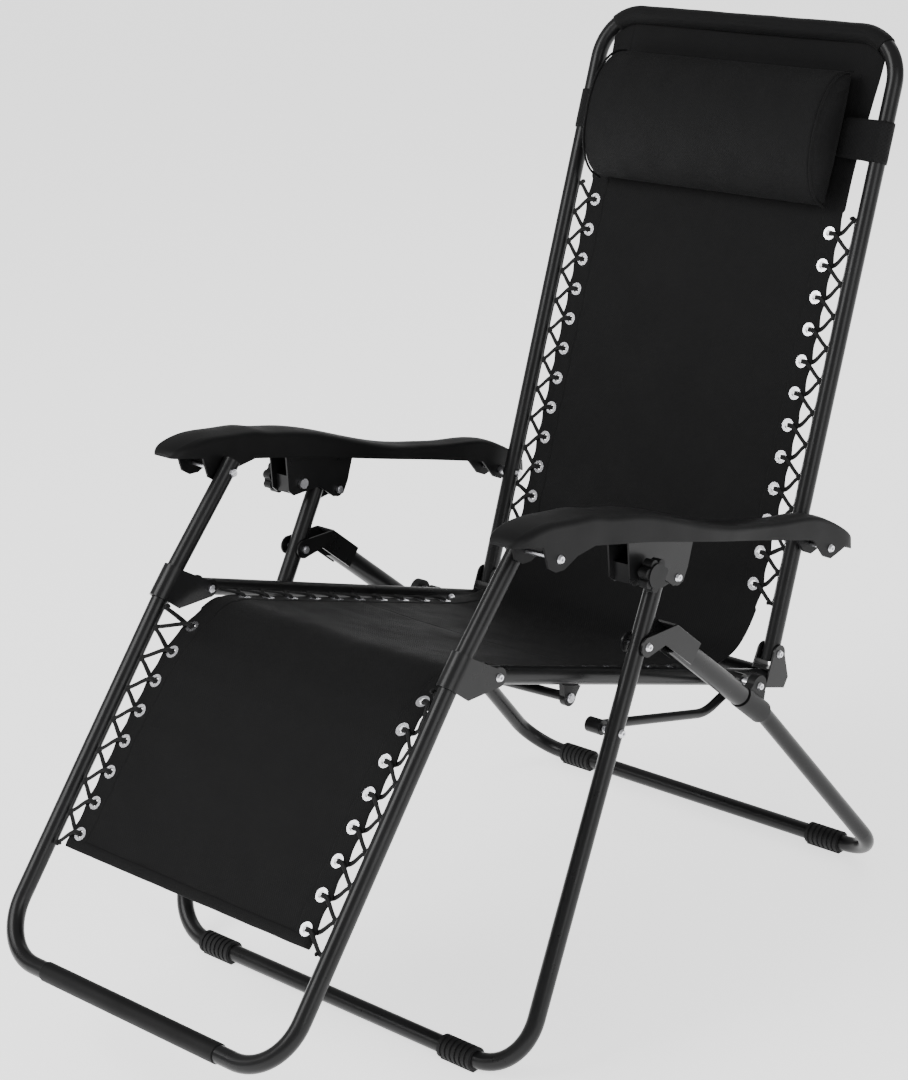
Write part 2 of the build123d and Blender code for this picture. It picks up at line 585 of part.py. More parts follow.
# ---------------------------------------------------------------- write the pieces
both_sides = {
    "rear_leg_frame": rear_leg_frame, "rear_feet": rear_feet, "leg_pivot_fasteners": leg_pivot_fasteners,
    "front_leg_frame": front_leg_frame, "front_feet": front_feet, "leg_top_plugs": leg_top_plugs,
    "link_front_fasteners": link_front_fasteners, "seat_pivot_fasteners": seat_pivot_fasteners,
    "seat_frame": seat_frame, "seat_brace": seat_brace, "seat_brace_screws": seat_brace_screws,
    "sling_seat": sling_seat, "seat_grommets": seat_grommets, "back_pivot_fasteners": back_pivot_fasteners,
    "back_frame": back_frame, "sling_back": sling_back, "back_grommets": back_grommets, "pillow": pillow,
    "pillow_straps": pillow_straps, "foot_pivot_fasteners": foot_pivot_fasteners, "foot_frame": foot_frame,
    "foot_bar_cover": foot_bar_cover, "sling_leg": sling_leg, "leg_grommets": leg_grommets,
}
mirrored = {
    "leg_collar": leg_collar, "leg_sleeve": leg_sleeve, "fork_bracket": fork_bracket, "link_rod": link_rod,
    "seat_rear_bracket": seat_rear_bracket, "lace_seat": lace_seat, "lace_back": lace_back,
    "foot_bracket": foot_bracket, "lace_leg": lace_leg, "armrest": armrest, "arm_front_bolt": arm_front_bolt,
    "arm_rear_bolt": arm_rear_bolt, "arm_slider": arm_slider, "slider_pivot_bolt": slider_pivot_bolt,
    "lock_knob": lock_knob, "knob_stud": knob_stud,
}
shift = Location((0.0, -CENTRE_Y, 0.0))
for name, piece in both_sides.items():
    save(shift * piece.part, name)
for name, piece in mirrored.items():
    save_pair(shift * piece.part, name)
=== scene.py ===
"""Visual model of a folding zero gravity recliner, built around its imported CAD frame."""
import json
import math
import bpy
import bmesh
from mathutils import Vector, Matrix, noise


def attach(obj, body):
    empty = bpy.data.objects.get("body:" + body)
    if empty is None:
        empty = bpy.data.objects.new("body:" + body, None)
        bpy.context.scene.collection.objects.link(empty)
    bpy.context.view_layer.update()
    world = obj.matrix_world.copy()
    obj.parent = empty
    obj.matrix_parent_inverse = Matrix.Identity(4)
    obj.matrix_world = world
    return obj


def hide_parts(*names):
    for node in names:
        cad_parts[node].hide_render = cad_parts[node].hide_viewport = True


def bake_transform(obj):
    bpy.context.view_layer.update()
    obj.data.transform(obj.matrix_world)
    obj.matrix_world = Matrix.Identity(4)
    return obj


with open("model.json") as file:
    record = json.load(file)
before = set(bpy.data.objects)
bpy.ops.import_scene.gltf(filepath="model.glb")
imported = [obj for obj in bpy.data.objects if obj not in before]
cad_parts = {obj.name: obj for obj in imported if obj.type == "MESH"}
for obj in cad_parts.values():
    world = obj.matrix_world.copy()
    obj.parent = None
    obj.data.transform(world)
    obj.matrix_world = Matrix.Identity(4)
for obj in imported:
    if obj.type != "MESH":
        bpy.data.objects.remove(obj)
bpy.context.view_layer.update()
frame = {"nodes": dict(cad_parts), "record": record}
nodes = frame["nodes"]
scene = bpy.context.scene

MM = 0.001
CENTRE_Y = 22.0        # the CAD frame is moved back by this much so that its box is centred
FRAME_X = 250.0
TUBE_R = 11.0
BACK_ANGLE = 68.0
BACK_PIVOT = (324.0, 350.0)
FOOT_PIVOT = (-208.0, 500.0)
BACK_LENGTH = 815.0
CORNER_R = 65.0
SLING_HALF = 217.0
GROMMET_X = 201.0
VERTEX_X = 235.4


# ---------------------------------------------------------------- side-view geometry (y, z) in millimetres
def step(point, angle, length):
    a = math.radians(angle)
    return (point[0] + length * math.cos(a), point[1] + length * math.sin(a))


def span(a, b):
    return math.hypot(b[0] - a[0], b[1] - a[1])


def heading(a, b):
    return math.degrees(math.atan2(b[1] - a[1], b[0] - a[0]))


def at(x, point):
    return Vector((x, point[0] - CENTRE_Y, point[1])) * MM


def on_back(along, up=0.0):
    return step(step(BACK_PIVOT, BACK_ANGLE, along), BACK_ANGLE + 90.0, up)


RAIL_ANGLE = heading(FOOT_PIVOT, (330.0, 312.0))


def on_rail(along, up=0.0):
    return step(step(FOOT_PIVOT, RAIL_ANGLE, along), RAIL_ANGLE + 90.0, up)


FOOT_BEND = (-266.0, 522.0)
FOOT_BAR = (-586.0, 142.0)


def on_foot(along, up=0.0):
    angle = heading(FOOT_BEND, FOOT_BAR)
    return step(step(FOOT_BEND, angle, along), angle - 90.0, up)


def along_line(points, distance):
    for a, b in zip(points, points[1:]):
        length = span(a, b)
        if distance <= length or b == points[-1]:
            angle = heading(a, b)
            return step(a, angle, distance), angle
        distance -= length


# ---------------------------------------------------------------- materials
class Shade:
    """Small helper that wires one procedural material."""

    def __init__(self, name, rough=0.5, metal=0.0, spec=0.5, sheen=0.0, coat=0.0):
        self.mat = bpy.data.materials.new(name)
        self.mat.use_nodes = True
        self.tree = self.mat.node_tree
        self.tree.nodes.clear()
        self.out = self.tree.nodes.new("ShaderNodeOutputMaterial")
        self.bsdf = self.tree.nodes.new("ShaderNodeBsdfPrincipled")
        self.tree.links.new(self.bsdf.outputs[0], self.out.inputs[0])
        b = self.bsdf.inputs
        b["Roughness"].default_value = rough
        b["Metallic"].default_value = metal
        b["Specular IOR Level"].default_value = spec
        b["Sheen Weight"].default_value = sheen
        b["Sheen Roughness"].default_value = 0.4
        b["Coat Weight"].default_value = coat
        b["Coat Roughness"].default_value = 0.25
        self.coords = self.tree.nodes.new("ShaderNodeTexCoord")

    def node(self, kind, inputs=None, **settings):
        n = self.tree.nodes.new("ShaderNode" + kind)
        for key, value in settings.items():
            setattr(n, key, value)
        for key, value in (inputs or {}).items():
            if hasattr(value, "links"):
                self.tree.links.new(value, n.inputs[key])
            else:
                n.inputs[key].default_value = value
        return n

    def link(self, a, b):
        self.tree.links.new(a, b)

    def noise(self, scale, detail=3.0, rough=0.5, where="Object", stretch=None):
        vector = self.coords.outputs[where]
        if stretch:
            vector = self.node("Mapping", {"Vector": vector, "Scale": stretch}).outputs[0]
        inputs = {"Vector": vector, "Scale": scale, "Detail": detail, "Roughness": rough}
        return self.node("TexNoise", inputs).outputs[0]

    def ramp(self, value, stops):
        n = self.node("ValToRGB", {"Fac": value})
        ramp = n.color_ramp
        while len(ramp.elements) < len(stops):
            ramp.elements.new(0.5)
        for element, (position, colour) in zip(ramp.elements, stops):
            element.position = position
            element.color = (*colour, 1.0) if hasattr(colour, "__len__") else (colour, colour, colour, 1.0)
        return n.outputs[0]

    def colour(self, value):
        self.link(value, self.bsdf.inputs["Base Color"])

    def rough(self, value):
        self.link(value, self.bsdf.inputs["Roughness"])

    def bump(self, value, strength, distance, base=None):
        inputs = {"Height": value, "Strength": strength, "Distance": distance}
        if base is not None:
            inputs["Normal"] = base
        n = self.node("Bump", inputs)
        self.link(n.outputs[0], self.bsdf.inputs["Normal"])
        return n.outputs[0]


def grey(value):
    return (value, value, value * 1.04)


def powder_coat():
    s = Shade("powder_coat", rough=0.34, spec=0.22)
    broad = s.noise(9.0, 4.0, 0.6)
    fine = s.noise(900.0, 2.0)
    s.colour(s.ramp(broad, ((0.3, grey(0.006)), (0.7, grey(0.011)))))
    s.rough(s.ramp(s.noise(30.0, 5.0, 0.65), ((0.25, 0.24), (0.75, 0.36))))
    s.bump(fine, 0.10, 0.0004)
    return s.mat


def moulded(name, low, high, rough, grain, strength, spec=0.18):
    s = Shade(name, rough=rough, spec=spec)
    broad = s.noise(7.0, 5.0, 0.6)
    s.colour(s.ramp(broad, ((0.3, grey(low)), (0.75, grey(high)))))
    s.rough(s.ramp(s.noise(22.0, 4.0), ((0.2, rough - 0.06), (0.8, rough + 0.08))))
    pits = s.node("TexVoronoi", {"Vector": s.coords.outputs["Object"], "Scale": grain}).outputs["Distance"]
    soft = s.bump(s.noise(grain * 0.7, 3.0), strength, 0.0005)
    s.bump(pits, strength, 0.0003, soft)
    return s.mat


def rubber():
    s = Shade("ribbed_rubber", rough=0.75, spec=0.3)
    s.colour(s.ramp(s.noise(60.0, 6.0, 0.7), ((0.3, grey(0.006)), (0.8, grey(0.013)))))
    s.rough(s.ramp(s.noise(120.0, 4.0), ((0.2, 0.66), (0.8, 0.85))))
    s.bump(s.noise(1200.0, 3.0), 0.25, 0.0004)
    return s.mat


def bright_steel(name, tone, rough):
    s = Shade(name, rough=rough, metal=1.0)
    s.colour(s.ramp(s.noise(180.0, 4.0), ((0.2, grey(tone * 0.78)), (0.7, grey(tone)))))
    s.rough(s.ramp(s.noise(500.0, 5.0), ((0.2, rough - 0.06), (0.8, rough + 0.12))))
    s.bump(s.noise(1600.0, 2.0), 0.08, 0.0002)
    return s.mat


def weave(name, low, high, pitch, strength, where="UV", spec=0.12):
    """Plain weave: warp and weft ribs that pass over and under each other, with painted shade darkening the
    gaps between the threads.
    """
    s = Shade(name, rough=0.62, spec=spec, sheen=0.02)
    split = s.node("SeparateXYZ", {"Vector": s.coords.outputs[where]})
    scale = 2.0 * math.pi / pitch

    def wave(source, factor=1.0):
        turned = s.node("Math", {0: source, 1: scale * factor}, operation="MULTIPLY").outputs[0]
        return s.node("Math", {0: turned}, operation="SINE").outputs[0]

    u, v = split.outputs[0], split.outputs[1]
    checker = s.node("Math", {0: wave(u, 0.5), 1: wave(v, 0.5)}, operation="MULTIPLY").outputs[0]
    warp = s.node("Math", {0: wave(u)}, operation="ABSOLUTE").outputs[0]
    weft = s.node("Math", {0: wave(v)}, operation="ABSOLUTE").outputs[0]
    threads = s.node("Math", {0: warp, 1: weft}, operation="ADD").outputs[0]
    height = s.node("Math", {0: checker, 1: 0.9, 2: threads}, operation="MULTIPLY_ADD").outputs[0]
    # painted shade: the colour follows the thread height, lighter on the crests and darker where the threads
    # dip between each other
    painted_thread_shade = s.node("Math", {0: height, 1: 0.16, 2: 0.20}, operation="MULTIPLY_ADD").outputs[0]
    drift = s.noise(14.0, 5.0, 0.6, where)
    slub = s.noise(60.0, 3.0, 0.5, where, (1.0, 12.0, 1.0))
    mixed = s.node("Math", {0: drift, 1: 0.30, 2: painted_thread_shade}, operation="MULTIPLY_ADD").outputs[0]
    mixed = s.node("Math", {0: slub, 1: 0.18, 2: mixed}, operation="MULTIPLY_ADD").outputs[0]
    s.colour(s.ramp(mixed, ((0.30, grey(low)), (0.95, grey(high)))))
    s.rough(s.ramp(drift, ((0.25, 0.56), (0.75, 0.72))))
    first = s.bump(height, strength, 0.00035)
    s.bump(s.noise(45.0, 4.0, 0.55), 0.10, 0.002, first)
    return s.mat


def cord_cloth():
    s = Shade("braided_cord", rough=0.7, spec=0.25, sheen=0.04)
    cells = s.node("TexVoronoi", {"Vector": s.coords.outputs["Object"], "Scale": 900.0}).outputs["Distance"]
    s.colour(s.ramp(cells, ((0.1, grey(0.012)), (0.7, grey(0.004)))))
    s.rough(s.ramp(s.noise(300.0), ((0.2, 0.6), (0.8, 0.85))))
    s.bump(cells, 0.5, 0.0004)
    return s.mat


COAT = powder_coat()
PLASTIC = moulded("black_plastic", 0.006, 0.010, 0.46, 1500.0, 0.10)
ARM = moulded("arm_plastic", 0.005, 0.008, 0.52, 1300.0, 0.12, 0.14)
COVER = moulded("bar_cover_plastic", 0.004, 0.007, 0.58, 1100.0, 0.14)
RUBBER = rubber()
ZINC = bright_steel("zinc_steel", 0.78, 0.30)
EYELET = bright_steel("eyelet_metal", 0.86, 0.22)
CLOTH = weave("sling_weave", 0.003, 0.008, 0.0018, 0.45)
PILLOW = weave("pillow_weave", 0.003, 0.009, 0.0018, 0.45)
STRAP = weave("strap_webbing", 0.004, 0.010, 0.0026, 0.7)
CORD = cord_cloth()
BY_SLOT = {"frame_coat": COAT, "black_plastic": PLASTIC, "arm_plastic": ARM, "foot_rubber": RUBBER,
           "bar_cover": COVER, "zinc_steel": ZINC, "eyelet_metal": EYELET, "sling_fabric": CLOTH,
           "cord": CORD, "pillow_fabric": PILLOW, "strap_web": STRAP}
slot_of = {row["node"]: row["material_slot"] for row in frame["record"]["subparts"]}
for name, node in nodes.items():
    node.data.materials.clear()
    node.data.materials.append(BY_SLOT[slot_of[name]])


# ---------------------------------------------------------------- mesh helpers
def new_object(name, data, material):
    obj = bpy.data.objects.new(name, data)
    scene.collection.objects.link(obj)
    data.materials.append(material)
    return obj


def new_mesh(name, verts, faces, material, uvs=None):
    """Smooth-shaded mesh object with outward normals and, if given, one UV pair for each vertex."""
    mesh = bpy.data.meshes.new(name)
    mesh.from_pydata([tuple(v) for v in verts], [], faces)
    mesh.update()
    if uvs is not None:
        layer = mesh.uv_layers.new(name="UVMap")
        for loop in mesh.loops:
            layer.data[loop.index].uv = uvs[loop.vertex_index]
    bm = bmesh.new()
    bm.from_mesh(mesh)
    bmesh.ops.recalc_face_normals(bm, faces=bm.faces)
    bm.to_mesh(mesh)
    bm.free()
    mesh.polygons.foreach_set("use_smooth", [True] * len(mesh.polygons))
    return new_object(name, mesh, material)


def baked(obj):
    """Replace an object's mesh by its modified one, with no modifier left."""
    graph = bpy.context.evaluated_depsgraph_get()
    graph.update()
    mesh = bpy.data.meshes.new_from_object(obj.evaluated_get(graph), preserve_all_data_layers=True,
                                           depsgraph=graph)
    old = obj.data
    obj.modifiers.clear()
    obj.data = mesh
    bpy.data.meshes.remove(old)
    mesh.polygons.foreach_set("use_smooth", [True] * len(mesh.polygons))
    return obj


def curve_object(name, lines, radius, material, resolution=3, steps=5):
    """Round cords along lines of points, each a smooth open NURBS spline."""
    data = bpy.data.curves.new(name, "CURVE")
    data.dimensions = "3D"
    data.resolution_u = steps
    data.bevel_depth = radius
    data.bevel_resolution = resolution
    data.use_fill_caps = True
    for points in lines:
        spline = data.splines.new("NURBS")
        spline.points.add(len(points) - 1)
        for target, point in zip(spline.points, points):
            target.co = (*point, 1.0)
        spline.order_u = 3
        spline.use_endpoint_u = True
    return new_object(name, data, material)


def resample(points, pitch):
    """Points at an even pitch along a line of side-view points."""
    total = sum(span(a, b) for a, b in zip(points, points[1:]))
    count = max(2, round(total / pitch))
    return [along_line(points, total * i / count)[0] for i in range(count + 1)]


def softened(points, rounds):
    """Round off the corners of an evenly sampled line, with its ends kept."""
    for _ in range(rounds):
        inner = [((a[0] + 2 * b[0] + c[0]) / 4, (a[1] + 2 * b[1] + c[1]) / 4)
                 for a, b, c in zip(points, points[1:], points[2:])]
        points = [points[0], *inner, points[-1]]
    return points


# ---------------------------------------------------------------- sling
SEAT_LINE = (on_rail(16.0, -4.0), on_rail(60.0, -4.0), on_rail(220.0, -2.0), on_rail(420.0, 1.0),
             (245.0, 349.5), (278.0, 351.0), (296.0, 357.0))
LEG_LINE = ((-490.0, 257.0), (-382.5, 378.5), (-324.0, 439.5), (-291.0, 466.0), (-262.0, 480.0))
KNEE = ((-240.0, 489.5), (-222.0, 494.5), (-207.0, 494.0))
HIP = ((309.0, 366.0), (323.0, 379.0), (336.0, 395.0), on_back(68.0))
BAR_GAP = 0.9          # from the top bar's tube to the sheet's upper edge
SHEET_TOP = on_back(BACK_LENGTH - TUBE_R - BAR_GAP)
whole = [*LEG_LINE, *KNEE, *SEAT_LINE, *HIP, SHEET_TOP]
sling_line = softened(resample(whole, 4.0), 5)


def nearest(points, target):
    return min(range(len(points)), key=lambda i: span(points[i], target))


MIDDLE = nearest(sling_line, on_rail(230.0, -2.0))
arc = [0.0]
for a, b in zip(sling_line, sling_line[1:]):
    arc.append(arc[-1] + span(a, b))


def grommet_row(line, first, pitch, count):
    return [along_line(line, first + pitch * i) for i in range(count)]


SEAT_ROW = grommet_row(SEAT_LINE, 12.0, 42.4, 10)
BACK_ROW = grommet_row((on_back(68.0), on_back(803.0)), 13.0, 42.7, 12)
LEG_ROW = grommet_row(LEG_LINE, 16.6, 42.0, 8)
ALL_ROWS = LEG_ROW + SEAT_ROW + BACK_ROW
EYE_ARCS = sorted(arc[nearest(sling_line, point)] for point, _ in ALL_ROWS)

FLARE = 11.0           # how much wider each edge is at the top bar
FLARE_LENGTH = 190.0
NO_EYELETS = 30.0      # an edge point this far from every eyelet keeps the full width
DRAW_IN = 2.6
EYE_PITCH = 42.6


def edge_reach(v):
    """Half width of the sling: it draws in between the eyelets and flares out below the top bar."""
    flare = min(1.0, max(0.0, (v - arc[-1] + FLARE_LENGTH) / FLARE_LENGTH))
    half = SLING_HALF + FLARE * flare * flare * (3.0 - 2.0 * flare)
    gap = min(abs(v - e) for e in EYE_ARCS)
    if gap > NO_EYELETS:
        return half
    return half - DRAW_IN * math.sin(math.pi * min(gap, EYE_PITCH / 2) / EYE_PITCH) ** 2


CLOTH_T = 0.6
HEM_T = 1.05
side_columns = (1.0, 0.997, 0.985, 0.965, 0.945, 0.925, 0.905, 0.886, 0.872, 0.862, 0.857, 0.852, 0.83)
inner_columns = [0.80 - 0.8 * i / 22 for i in range(22)]
half_columns = [*side_columns, *inner_columns]
columns = [-c for c in half_columns] + [0.0] + half_columns[::-1]


def thickness(u):
    """Half thickness of the cloth across its width: a doubled, stitched hem at each side edge."""
    a = abs(u)
    for limit, value in ((0.999, 0.25), (0.996, 0.8), (0.871, HEM_T), (0.861, HEM_T - 0.25), (0.853, 0.38)):
        if a > limit:
            return value
    return CLOTH_T


def sling_offset(u, v):
    """How far the cloth lies off its line: a slack middle and faint ripples that die out at the hems."""
    a = abs(u)
    fade = max(0.0, 1.0 - (a / 0.88) ** 4)
    slack = -3.2 * max(0.0, 1.0 - (a / 0.9) ** 2)
    ripple = noise.noise(Vector((u * 3.0, v * 0.009, 0.7))) * 1.7
    ripple += noise.noise(Vector((u * 7.0, v * 0.03, 4.0))) * 0.6
    pull = 0.0
    if 0.55 < a < 0.86:
        pull = 0.35 * math.cos(2 * math.pi * v / 42.5) * (a - 0.55) / 0.31 * min(1.0, (0.86 - a) / 0.05)
    return slack + ripple * fade + pull


TRIM = 70.0            # length over which the sheet takes on the top bar's outline
EYE_HOLE_R = 5.0 * MM


def bar_shift(x, v):
    """Near the top bar the sheet follows the bar's rounded corners."""
    over = abs(x) - (FRAME_X - CORNER_R)
    if v < arc[-1] - TRIM or over <= 0:
        return 0.0
    inner_r = CORNER_R - TUBE_R - BAR_GAP
    return (math.sqrt(max(inner_r ** 2 - over ** 2, 0.0)) - inner_r) * (v - arc[-1] + TRIM) / TRIM


def sling_piece(name, first, last, replaced):
    """One stretch of the sling as a closed sheet with its eyelet holes cut."""
    rows = list(range(first, last + 1))
    verts, uvs, faces = [], [], []
    count = len(columns)
    for side in (1, -1):
        for i in rows:
            before = sling_line[max(i - 1, 0)]
            after = sling_line[min(i + 1, len(sling_line) - 1)]
            angle = heading(before, after)
            half = edge_reach(arc[i])
            for u in columns:
                x = u * half
                off = sling_offset(u, arc[i]) + side * thickness(u)
                shift = bar_shift(x, arc[i])
                verts.append(at(x, step(step(sling_line[i], angle + 90.0, off), angle, shift)))
                uvs.append((x * MM, (arc[i] + shift) * MM))
    per = count * len(rows)
    for r in range(len(rows) - 1):
        for c in range(count - 1):
            a = r * count + c
            faces.append((a, a + 1, a + count + 1, a + count))
            faces.append((a + per + count, a + per + count + 1, a + per + 1, a + per))
        for c in (0, count - 1):
            a, b = r * count + c, (r + 1) * count + c
            faces.append((a, b, b + per, a + per))
    for r in (0, len(rows) - 1):
        for c in range(count - 1):
            a = r * count + c
            faces.append((a, a + 1, a + 1 + per, a + per))
    obj = new_mesh(name, verts, faces, CLOTH, uvs)
    cut = [(p, h) for p, h in ALL_ROWS if arc[first] + 6 < arc[nearest(sling_line, p)] < arc[last] - 6]
    bm = bmesh.new()
    for point, angle in cut:
        for sign in (-1, 1):
            spin = Matrix.Rotation(math.radians(angle), 4, "X")
            place = Matrix.Translation(at(sign * GROMMET_X, point)) @ spin
            bmesh.ops.create_cone(bm, cap_ends=True, segments=20, radius1=EYE_HOLE_R, radius2=EYE_HOLE_R,
                                  depth=12.0 * MM, matrix=place)
    cutter_mesh = bpy.data.meshes.new(name + "_cut")
    bm.to_mesh(cutter_mesh)
    bm.free()
    cutter = bpy.data.objects.new(name + "_cut", cutter_mesh)
    scene.collection.objects.link(cutter)
    boolean = obj.modifiers.new("eyes", "BOOLEAN")
    boolean.operation = "DIFFERENCE"
    boolean.solver = "EXACT"
    boolean.object = cutter
    baked(obj)
    bpy.data.objects.remove(cutter)
    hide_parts(*replaced)
    return obj


front_cloth = sling_piece("sling_front_cloth", 0, MIDDLE, ("sling_leg", "sling_seat"))
back_cloth = sling_piece("sling_back_cloth", MIDDLE, len(sling_line) - 1, ("sling_back",))


def hem_roll():
    """The flat hem tube along the bottom edge of the leg part."""
    verts, faces, uvs = [], [], []
    ring = 14
    base, angle = along_line(LEG_LINE, 1.5)
    xs = [(SLING_HALF - 0.4) * (i / 40 * 2 - 1) for i in range(41)]
    for x in xs:
        for k in range(ring):
            a = 2 * math.pi * k / ring
            swell = 1.0 + 0.05 * noise.noise(Vector((x * 0.03, k, 1.0)))
            along = 7.5 * math.cos(a) * swell + 2.0
            up = 1.9 * math.sin(a) * swell + sling_offset(x / SLING_HALF, 2.0)
            verts.append(at(x, step(step(base, angle, along), angle + 90.0, up)))
            uvs.append((x * MM, k * 0.003))
    for i in range(len(xs) - 1):
        for k in range(ring):
            a, b = i * ring + k, i * ring + (k + 1) % ring
            faces.append((a, b, b + ring, a + ring))
    faces.append(tuple(range(ring)))
    faces.append(tuple(range((len(xs) - 1) * ring, len(xs) * ring)))
    return new_mesh("sling_leg_hem", verts, faces, CLOTH, uvs)


leg_hem = hem_roll()
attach(leg_hem, "leg_rest")

UP = Vector((0.0, math.cos(math.radians(BACK_ANGLE)), math.sin(math.radians(BACK_ANGLE))))
OUT = Vector((0.0, -math.sin(math.radians(BACK_ANGLE)), math.cos(math.radians(BACK_ANGLE))))


def back_place(x, s, o):
    """Point from its distance across, up along and out in front of the back frame's plane."""
    return at(x, on_back(s)) + OUT * o * MM


def bar_point(t):
    """Place and turn of the back frame's top bar at a distance from its middle."""
    sign = -1.0 if t < 0 else 1.0
    straight = FRAME_X - CORNER_R
    if abs(t) <= straight:
        return t, BACK_LENGTH, 0.0
    turn = (abs(t) - straight) / CORNER_R
    return (sign * (straight + CORNER_R * math.sin(turn)), BACK_LENGTH - CORNER_R + CORNER_R * math.cos(turn),
            sign * turn)


def top_sleeve():
    """Cloth sleeve round the top bar, reaching a little way round both corners."""
    verts, faces, uvs = [], [], []
    ring = 28
    reach = 229.0
    stations = [reach * (i / 72 * 2 - 1) for i in range(73)]
    for t in stations:
        x, s, turn = bar_point(t)
        outward = UP * math.cos(turn) + Vector((math.sin(turn), 0.0, 0.0))
        for k in range(ring):
            a = 2 * math.pi * k / ring
            r = 12.5 + 0.45 * noise.noise(Vector((t * 0.03, math.cos(a) * 1.5, math.sin(a) * 1.5)))
            if math.sin(a) < -0.8:
                r += 0.5
            verts.append(back_place(x, s, 0.0) + (OUT * math.cos(a) + outward * math.sin(a)) * r * MM)
            uvs.append((t * MM, k / ring * 0.0785))
    for i in range(len(stations) - 1):
        for k in range(ring):
            a, b = i * ring + k, i * ring + (k + 1) % ring
            faces.append((a, b, b + ring, a + ring))
    obj = new_mesh("sling_top_sleeve", verts, faces, CLOTH, uvs)
    solid = obj.modifiers.new("cloth", "SOLIDIFY")
    solid.thickness = 1.0 * MM
    solid.offset = -1.0
    return baked(obj)


sleeve = top_sleeve()
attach(sleeve, "back")


STITCH_U = 0.867       # the stitch line across the sheet's half width
STITCH_PITCH = 3.6
STITCH_R = 0.28 * MM


def stitch_rows():
    """Raised thread stitches along the side hems, one object for each stretch of the sling."""
    groups = {"front": [], "back": []}
    v = 8.0
    index = 0
    while v < arc[-1] - 30.0:
        while arc[index + 1] < v:
            index += 1
        point, angle = along_line(sling_line, v)
        key = "front" if index < MIDDLE else "back"
        for sign in (-1, 1):
            u = STITCH_U
            half = edge_reach(v)
            base = sling_offset(u, v) + HEM_T
            a = at(sign * u * half, step(step(point, angle, -1.3), angle + 90.0, base - 0.15))
            b = at(sign * u * half, step(point, angle + 90.0, base + 0.30))
            c = at(sign * u * half, step(step(point, angle, 1.3), angle + 90.0, base - 0.15))
            groups[key].append((a, b, c))
        v += STITCH_PITCH
    made = {}
    for key, lines in groups.items():
        made[key] = baked_curve(curve_object("stitches_" + key, lines, STITCH_R, CORD, 1, 2))
    return made


def baked_curve(obj):
    """Turn a curve object into a mesh object of the same name."""
    name = obj.name
    graph = bpy.context.evaluated_depsgraph_get()
    graph.update()
    mesh = bpy.data.meshes.new_from_object(obj.evaluated_get(graph), depsgraph=graph)
    bpy.data.objects.remove(obj)
    made = bpy.data.objects.new(name, mesh)
    scene.collection.objects.link(made)
    return made


stitches = stitch_rows()
JOINS = (("front", front_cloth, "leg_rest", "seat", (-330.0, 432.0), (-140.0, 473.0)),
         ("back", back_cloth, "seat", "back", (240.0, 350.0), on_back(112.0)))
for key, cloth, body_a, body_b, start, end in JOINS:
    for piece in (cloth, stitches[key]):
        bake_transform(piece)


# ---------------------------------------------------------------- lacing
LACE_R = 1.75 * MM
STRING_R = 0.75 * MM
KNOT_R = 2.9 * MM


def lacing(name, row, loops, sign, body, node):
    """Doubled elastic cord from the frame through each eyelet, and the string that ties its loops."""
    lines = []
    for i, (point, angle) in enumerate(row):
        for shift in (-LACE_R / MM, LACE_R / MM):
            eye = step(point, angle, shift * 0.8)
            way = heading(loops[i], loops[i + 1])
            start = step(loops[i], way, shift * 0.55 + 1.0)
            finish = step(loops[i + 1], way, shift * 0.55 - 1.0)
            lines.append([at(sign * (VERTEX_X + 1.2), start),
                          at(sign * (VERTEX_X - 3.0), start),
                          at(sign * (GROMMET_X + 11.0), step(eye, angle + 90.0, 3.9)),
                          at(sign * (GROMMET_X + 2.2), step(eye, angle + 90.0, 3.7)),
                          at(sign * (GROMMET_X - 0.4), eye),
                          at(sign * (GROMMET_X + 2.2), step(eye, angle + 90.0, -3.7)),
                          at(sign * (GROMMET_X + 11.0), step(eye, angle + 90.0, -3.9)),
                          at(sign * (SLING_HALF + 3.5),
                             step(step(point, angle + 90.0, -3.2), angle, 5.0 + shift)),
                          at(sign * (VERTEX_X - 3.0), finish),
                          at(sign * (VERTEX_X + 1.2), finish)])
    cords = curve_object(name, lines, LACE_R, CORD)
    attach(cords, body)
    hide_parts(node)
    arcs = []
    for a, b in zip(loops, loops[1:]):
        middle = ((a[0] + b[0]) / 2, (a[1] + b[1]) / 2)
        arcs.append([at(sign * (VERTEX_X - 5.5), a), at(sign * (VERTEX_X + 1.0), a),
                     at(sign * (VERTEX_X + 1.5), middle),
                     at(sign * (VERTEX_X + 1.0), b), at(sign * (VERTEX_X - 5.5), b)])
    string = curve_object(name + "_string", arcs, STRING_R, CORD, 2)
    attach(string, body)
    mesh = bpy.data.meshes.new(name + "_knots")
    bm = bmesh.new()
    for end in (loops[0], loops[-1]):
        for k in range(3):
            spot = at(sign * (VERTEX_X - 3.5 - 0.8 * k), step(end, 60.0 * k + 10.0, 2.0))
            tilt = Matrix.Rotation(0.9 * k + 0.4, 4, "Z") @ Matrix.Rotation(1.1 * k, 4, "X")
            place = Matrix.Translation(spot) @ tilt @ Matrix.Diagonal((1.25, 0.85, 0.8, 1.0))
            bmesh.ops.create_uvsphere(bm, u_segments=16, v_segments=10, radius=KNOT_R, matrix=place)
    bm.to_mesh(mesh)
    bm.free()
    mesh.polygons.foreach_set("use_smooth", [True] * len(mesh.polygons))
    knot = new_object(name + "_knots", mesh, CORD)
    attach(knot, body)


seat_loops = [on_rail(7.0 + 42.4 * i) for i in range(11)]
back_loops = [on_back(60.0 + 42.7 * i) for i in range(13)]
back_loops[2] = on_back(136.0)
leg_loops = [on_foot(352.0 - 42.0 * i) for i in range(8)] + [on_foot(29.0)]
for side, sign in (("left", 1), ("right", -1)):
    lacing("seat_lacing_" + side, SEAT_ROW, seat_loops, sign, "seat", "lace_seat_" + side)
    lacing("back_lacing_" + side, BACK_ROW, back_loops, sign, "back", "lace_back_" + side)
    lacing("leg_lacing_" + side, LEG_ROW, leg_loops, sign, "leg_rest", "lace_leg_" + side)

